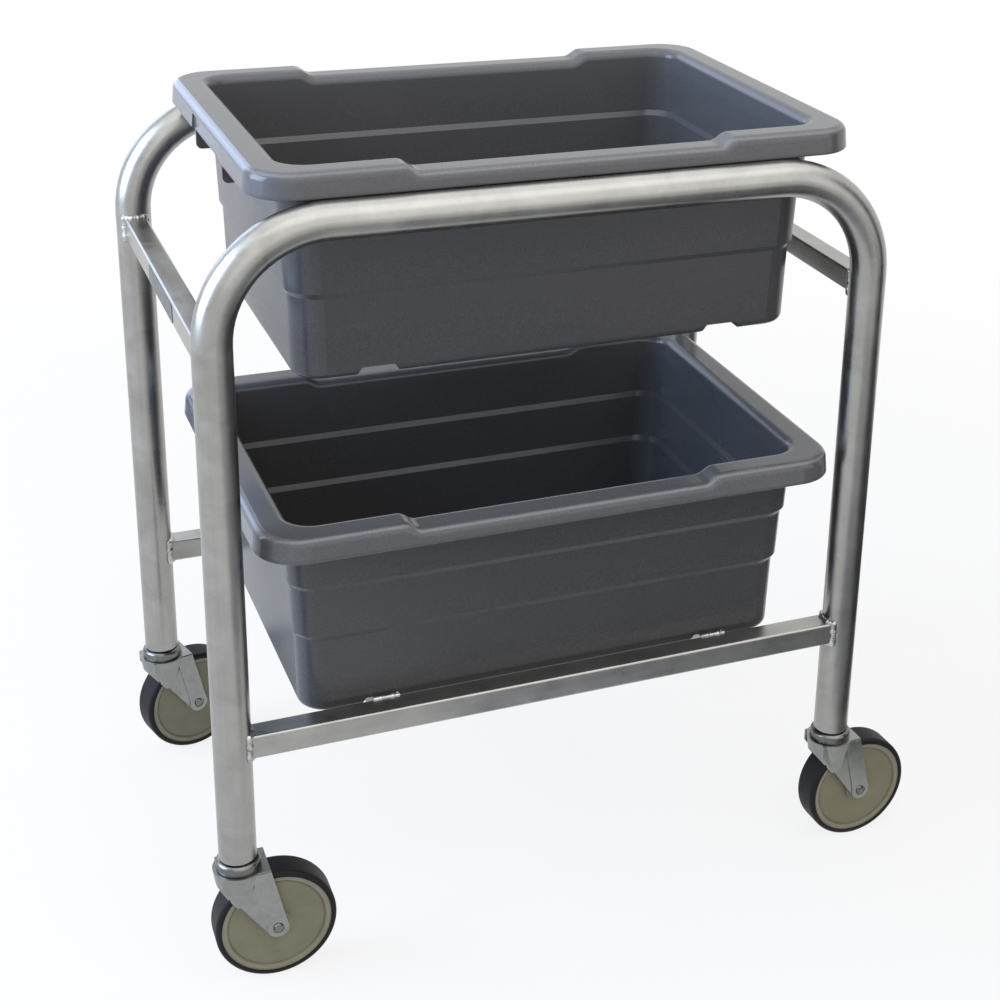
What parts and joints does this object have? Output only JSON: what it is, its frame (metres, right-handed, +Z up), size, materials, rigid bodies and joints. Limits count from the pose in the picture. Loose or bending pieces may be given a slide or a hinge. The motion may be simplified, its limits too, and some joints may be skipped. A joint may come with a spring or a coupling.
{
  "type": "meat lug cart",
  "caption": "Welded tube stand on swivel stem casters: bent hoops carry a nesting tub by its rim, and bars lower down carry another.",
  "frame": {"origin": "on the floor under the middle of the four legs", "axes": "+X along the long side towards the right, +Y towards the rear hoop, +Z up"},
  "size_m": [0.8079, 0.5035, 0.8483],
  "materials": {
    "tube_aluminium": "satin mill finish",
    "lug_plastic": "moulded, satin, grey",
    "zinc_steel": "bright zinc plate",
    "ball_steel": "polished",
    "bushing_steel": "turned",
    "washer_nylon": "black, matte",
    "expander_rubber": "black, matte",
    "core_plastic": "moulded, satin, grey-brown",
    "tread_rubber": "dark grey, matte",
    "label_film": "blank dark film"
  },
  "bodies": {
    "frame": {"front_hoop": "tube_aluminium", "rear_hoop": "tube_aluminium", "front_lower_rail": "tube_aluminium", "rear_lower_rail": "tube_aluminium", "left_upper_crossbar": "tube_aluminium", "right_upper_crossbar": "tube_aluminium", "left_support_bar": "tube_aluminium", "right_support_bar": "tube_aluminium", "label_plate": "label_film", "front_left_kingpin": "zinc_steel", "front_left_stem_nut": "zinc_steel", "front_left_expander": "expander_rubber", "front_left_washer": "washer_nylon", "front_left_top_race": "zinc_steel", "front_right_kingpin": "zinc_steel", "front_right_stem_nut": "zinc_steel", "front_right_expander": "expander_rubber", "front_right_washer": "washer_nylon", "front_right_top_race": "zinc_steel", "rear_left_kingpin": "zinc_steel", "rear_left_stem_nut": "zinc_steel", "rear_left_expander": "expander_rubber", "rear_left_washer": "washer_nylon", "rear_left_top_race": "zinc_steel", "rear_right_kingpin": "zinc_steel", "rear_right_stem_nut": "zinc_steel", "rear_right_expander": "expander_rubber", "rear_right_washer": "washer_nylon", "rear_right_top_race": "zinc_steel"},
    "front_left_swivel": {"front_left_fork": "zinc_steel", "front_left_axle": "zinc_steel", "front_left_bushing": "bushing_steel", "front_left_balls": "ball_steel"},
    "front_left_wheel": {"front_left_wheel_core": "core_plastic", "front_left_tread": "tread_rubber"},
    "front_right_swivel": {"front_right_fork": "zinc_steel", "front_right_axle": "zinc_steel", "front_right_bushing": "bushing_steel", "front_right_balls": "ball_steel"},
    "front_right_wheel": {"front_right_wheel_core": "core_plastic", "front_right_tread": "tread_rubber"},
    "rear_left_swivel": {"rear_left_fork": "zinc_steel", "rear_left_axle": "zinc_steel", "rear_left_bushing": "bushing_steel", "rear_left_balls": "ball_steel"},
    "rear_left_wheel": {"rear_left_wheel_core": "core_plastic", "rear_left_tread": "tread_rubber"},
    "rear_right_swivel": {"rear_right_fork": "zinc_steel", "rear_right_axle": "zinc_steel", "rear_right_bushing": "bushing_steel", "rear_right_balls": "ball_steel"},
    "rear_right_wheel": {"rear_right_wheel_core": "core_plastic", "rear_right_tread": "tread_rubber"},
    "upper_lug": {"upper_lug": "lug_plastic"},
    "lower_lug": {"lower_lug": "lug_plastic"}
  },
  "joints": [
    {"name": "front_left_swivel", "type": "hinge", "parent": "frame", "child": "front_left_swivel", "pos_m": [-0.34, -0.218, 0.133], "axis": [0, 0, 1], "continuous": true},
    {"name": "front_left_roll", "type": "hinge", "parent": "front_left_swivel", "child": "front_left_wheel", "pos_m": [-0.30601, -0.21859, 0.0625], "axis": [0.0175, 0.9998, 0], "continuous": true},
    {"name": "front_right_swivel", "type": "hinge", "parent": "frame", "child": "front_right_swivel", "pos_m": [0.34, -0.218, 0.133], "axis": [0, 0, 1], "continuous": true},
    {"name": "front_right_roll", "type": "hinge", "parent": "front_right_swivel", "child": "front_right_wheel", "pos_m": [0.37397, -0.21652, 0.0625], "axis": [-0.0436, 0.999, 0], "continuous": true},
    {"name": "rear_left_swivel", "type": "hinge", "parent": "frame", "child": "rear_left_swivel", "pos_m": [-0.34, 0.218, 0.133], "axis": [0, 0, 1], "continuous": true},
    {"name": "rear_left_roll", "type": "hinge", "parent": "rear_left_swivel", "child": "rear_left_wheel", "pos_m": [-0.30724, 0.22709, 0.0625], "axis": [-0.2672, 0.9636, 0], "continuous": true},
    {"name": "rear_right_swivel", "type": "hinge", "parent": "frame", "child": "rear_right_swivel", "pos_m": [0.34, 0.218, 0.133], "axis": [0, 0, 1], "continuous": true},
    {"name": "rear_right_roll", "type": "hinge", "parent": "rear_right_swivel", "child": "rear_right_wheel", "pos_m": [0.37381, 0.22155, 0.0625], "axis": [-0.1045, 0.9945, 0], "continuous": true},
    {"name": "upper_lug_lift", "type": "slide", "parent": "frame", "child": "upper_lug", "axis": [0, 0, 1], "range_m": [0, 0.25]},
    {"name": "lower_lug_lift", "type": "slide", "parent": "frame", "child": "lower_lug", "axis": [0, 0, 1], "range_m": [0, 0.12]}
  ]
}
